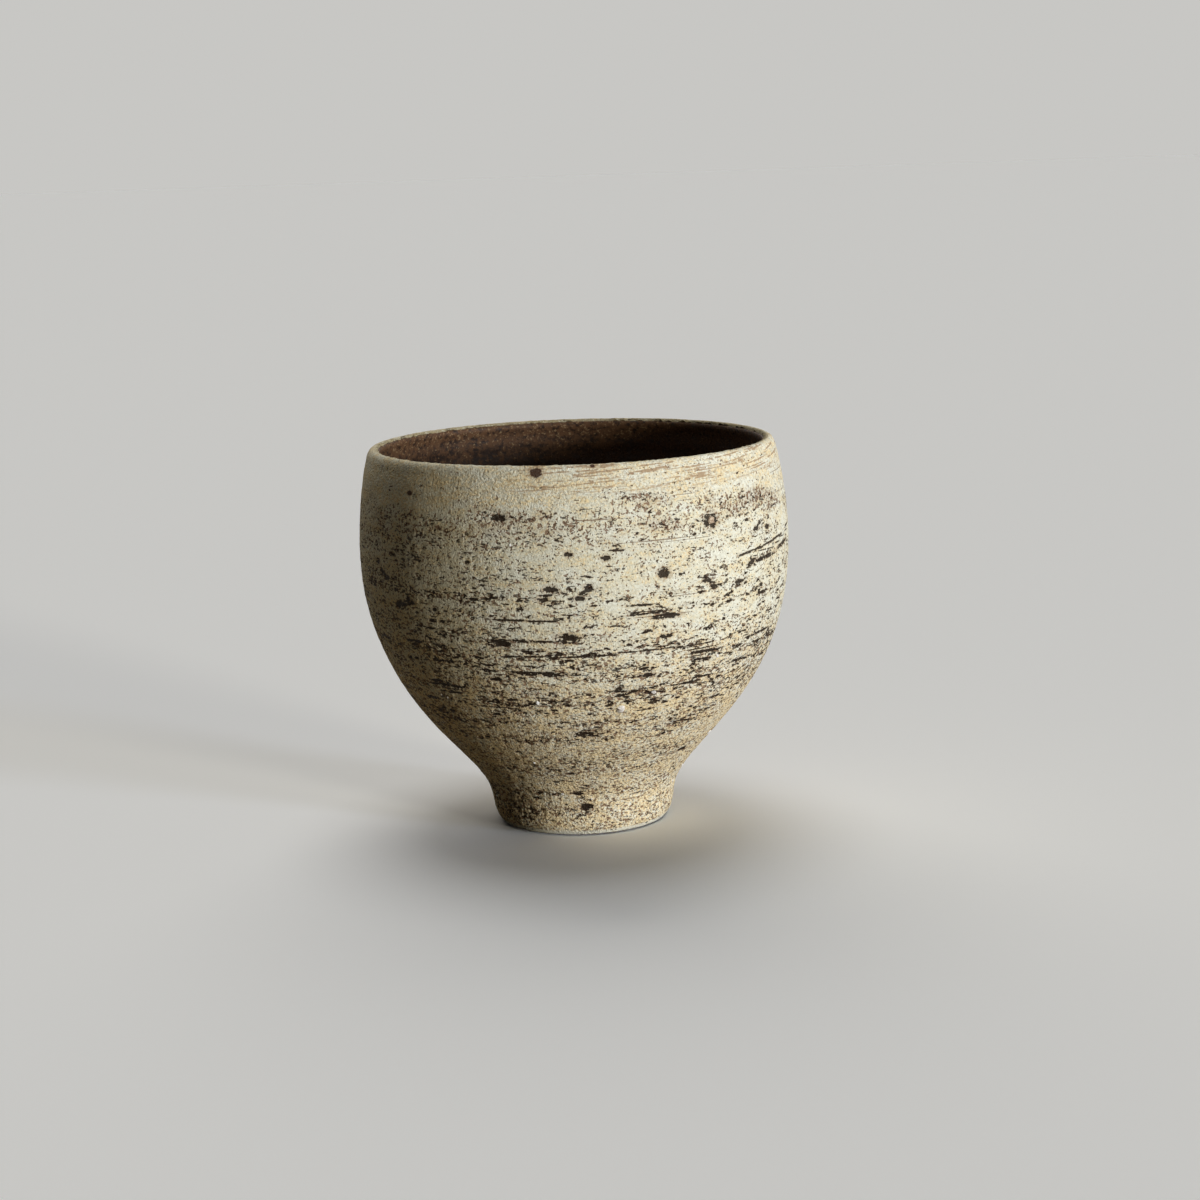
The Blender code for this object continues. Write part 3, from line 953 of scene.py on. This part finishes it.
    height = net.math("MULTIPLY", grain, net.math("MULTIPLY_ADD", field.outputs["Tan"], 1.0, 0.9))
    height = net.math("MULTIPLY_ADD", worn, -1.0, height)
    height = net.math("MULTIPLY_ADD", field.outputs["Freckle"], -0.5, height)
    height = net.math("MULTIPLY_ADD", sand, 1.1, height)
    height = net.math("MULTIPLY_ADD", field.outputs["Line"], -0.5, height)
    bump = net.put("ShaderNodeBump", {"Height": height, "Strength": 0.7, "Distance": 0.25 * MM})
    connect(net, shader, "Normal", bump)
    return made


def glaze_material():
    made, net, shader, place = material("brown_glaze")
    height = net.put("ShaderNodeSeparateXYZ", {0: place}, 2)
    cloud = net.noise(place, (6, 6, 4.5), 4.0, 0.62)
    mottle = net.noise(place, (1.3, 1.3, 1.1), 3.0, 0.65, shift=4.0)
    grain = net.noise(place, (0.55, 0.55, 0.55), 2.0, 0.6, shift=9.0)
    # more rust and pale flecks towards the rim: the glaze's own mottling, with painted light where the
    # inside near the lip catches the light
    rim_rust_and_light = net.ramp(net.math("MULTIPLY_ADD", cloud, 9 * MM, height), 78 * MM, 87 * MM)
    colour = net.mix(net.ramp(cloud, 0.32, 0.68), GLAZE_DARK, GLAZE_BROWN)
    patchy = net.math("MULTIPLY_ADD", rim_rust_and_light, 0.16, mottle)
    colour = net.mix(net.ramp(patchy, 0.46, 0.74, 0.0, 0.85), colour, GLAZE_RUST_AND_LIGHT)
    colour = net.mix(net.ramp(mottle, 0.46, 0.34, 0.0, 0.7), colour, GLAZE_DARK)
    fleck = net.math("MULTIPLY_ADD", rim_rust_and_light, 0.09, net.math("MULTIPLY_ADD", mottle, 0.3, grain))
    colour = net.mix(net.ramp(fleck, 0.82, 0.92, 0.0, 0.6), colour, GLAZE_FLECK)
    connect(net, shader, "Base Color", colour)
    connect(net, shader, "Roughness", net.ramp(mottle, 0.3, 0.8, 0.58, 0.78))
    shader.inputs["Specular IOR Level"].default_value = 0.22
    high = net.math("ADD", net.math("MULTIPLY", mottle, 0.8), grain)
    bump = net.put("ShaderNodeBump", {"Height": high, "Strength": 0.6, "Distance": 0.25 * MM})
    connect(net, shader, "Normal", bump)
    return made


def fired_clay():
    """Bare clay with pale and dark grog in it."""
    inputs = ["Place", "Dark", "Light", "Grog Size"]
    tree, net, given = group("fired clay", "ShaderNodeTree", inputs, ["Colour", "Roughness", "Height"])
    cloud = net.noise(given["Place"], (5, 5, 3), 4.0, 0.6)
    near = net.put(
        "ShaderNodeVectorMath",
        {0: given["Place"], 3: net.math("DIVIDE", 1.0, given["Grog Size"])},
        operation="SCALE",
    )
    grog = net.put("ShaderNodeTexNoise", {"Vector": near, "Scale": 1.0, "Detail": 2.0, "Roughness": 0.6})
    colour = net.mix(net.ramp(cloud, 0.3, 0.7), given["Dark"], given["Light"])
    colour = net.mix(net.ramp(grog, 0.64, 0.72), colour, GROG_PALE)
    colour = net.mix(net.ramp(grog, 0.36, 0.28), colour, GROG_DARK)
    rough = net.ramp(cloud, 0.3, 0.7, 0.8, 0.95)
    return close_group(tree, {"Colour": colour, "Roughness": rough, "Height": grog})


def clay_material(name, clay, dark, light, grog_size):
    made, net, shader, place = material(name)
    field = net.tree.nodes.new("ShaderNodeGroup")
    field.node_tree = clay
    net.tree.links.new(place, field.inputs["Place"])
    field.inputs["Dark"].default_value = dark
    field.inputs["Light"].default_value = light
    field.inputs["Grog Size"].default_value = grog_size
    connect(net, shader, "Base Color", field.outputs["Colour"])
    connect(net, shader, "Roughness", field.outputs["Roughness"])
    shader.inputs["Specular IOR Level"].default_value = 0.3
    bump = net.put(
        "ShaderNodeBump",
        {"Height": field.outputs["Height"], "Strength": 0.5, "Distance": 0.2 * MM},
    )
    connect(net, shader, "Normal", bump)
    return made


def grain_material():
    made, net, shader, place = material("feldspar")
    tint = net.put("ShaderNodeAttribute", attribute_name="tint", out="Fac")
    milky = net.noise(place, (0.5, 0.5, 0.5), 3.0, 0.6)
    colour = net.mix(net.ramp(milky, 0.35, 0.65), *FELDSPAR)
    brown = net.mix(net.ramp(milky, 0.40, 0.62), *BURST_BROWN)
    connect(net, shader, "Base Color", net.mix(tint, colour, brown))
    connect(net, shader, "Roughness", net.ramp(milky, 0.3, 0.7, 0.6, 0.85))
    bump = net.put("ShaderNodeBump", {"Height": milky, "Strength": 0.5, "Distance": 0.15 * MM})
    connect(net, shader, "Normal", bump)
    return made


clay = fired_clay()
FINISHES = (
    (skin, "slip_coat", "pale_slip", slip_material()),
    (lining, "inner_glaze", "brown_glaze", glaze_material()),
    (bowl, "clay_bowl", "dark_clay", clay_material("dark_clay", clay, *BOWL_CLAY, BOWL_GROG)),
    (foot, "foot_ring", "bare_foot", clay_material("bare_foot", clay, *FOOT_CLAY, FOOT_GROG)),
)
for piece, node, slot, finish in FINISHES:
    piece.data.materials.clear()
    piece.data.materials.append(finish)
    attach(piece, "root")
    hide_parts(node)
grains.data.materials.clear()
grains.data.materials.append(grain_material())
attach(grains, "root")


def lamp(name, turn, rise, spread, strength, colour):
    """A broad lamp far off, at an angle round from the camera and up from the floor."""
    bpy.ops.object.light_add(type="SUN")
    light = bpy.context.object
    light.name = name
    light.data.energy = strength
    light.data.angle = spread
    light.data.color = colour
    level = math.cos(rise)
    towards = Vector((math.sin(turn) * level, -math.cos(turn) * level, math.sin(rise)))
    light.rotation_euler = towards.to_track_quat("Z", "Y").to_euler()


def seen_ray(net):
    """Rays by which the backdrop is seen, straight, mirrored or through glass."""
    path = net.tree.nodes.new("ShaderNodeLightPath")
    mirrored = net.math("MAXIMUM", path.outputs["Is Glossy Ray"], path.outputs["Is Transmission Ray"])
    return net.math("MAXIMUM", path.outputs["Is Camera Ray"], mirrored)


def floor_and_light():
    bpy.ops.object.select_all(action="DESELECT")
    bpy.ops.mesh.primitive_plane_add(size=FLOOR_SIZE)
    floor = bpy.context.object
    floor.name = "studio_floor"
    made, net, shader, _ = material("studio_floor")
    connect(net, shader, "Base Color", net.mix(seen_ray(net), FLOOR_BOUNCE, FLOOR_SEEN))
    shader.inputs["Roughness"].default_value = 0.9
    shader.inputs["Specular IOR Level"].default_value = 0.0
    floor.data.materials.append(made)

    for turn, colour in KEYS:
        lamp("soft_key", turn, KEY_RISE, KEY_SPREAD, KEY_STRENGTH, colour)
    lamp("soft_fill", FILL_TURN, FILL_RISE, FILL_SPREAD, FILL_STRENGTH, FILL_COLOUR)
    lamp("soft_top", TOP_TURN, TOP_RISE, TOP_SPREAD, TOP_STRENGTH, TOP_COLOUR)

    bpy.ops.object.light_add(type="SPOT", location=(0, 0, WELL_LAMP_HEIGHT))
    well = bpy.context.object
    well.name = "well_lamp"
    well.data.energy = WELL_LAMP_POWER
    well.data.shadow_soft_size = WELL_LAMP_SIZE
    well.data.spot_size = 2 * math.atan(WELL_LAMP_REACH / (WELL_LAMP_HEIGHT - cad_box[1].z))
    well.data.spot_blend = WELL_LAMP_BLEND

    world = bpy.data.worlds.new("studio")
    bpy.context.scene.world = world
    world.use_nodes = True
    net = Net(world.node_tree)
    sky = world.node_tree.nodes["Background"]
    room = [ROOM_LIGHT] * 3 + [1]
    net.tree.links.new(net.mix(seen_ray(net), room, [*BACKDROP, 1]), sky.inputs["Color"])


def camera():
    data = bpy.data.cameras.new("view")
    data.lens = LENS_MM
    data.sensor_width = SENSOR_MM
    data.sensor_height = SENSOR_MM
    data.sensor_fit = "HORIZONTAL"
    viewer = bpy.data.objects.new("view", data)
    bpy.context.scene.collection.objects.link(viewer)
    turn = Matrix.Rotation(math.pi / 2 - CAMERA_PITCH, 4, "X") @ Matrix.Rotation(-CAMERA_ROLL, 4, "Z")
    viewer.matrix_world = turn @ Matrix.Translation(-CUP_FROM_CAMERA)
    bpy.context.scene.camera = viewer


floor_and_light()
camera()
bpy.context.scene.view_settings.view_transform = "Standard"
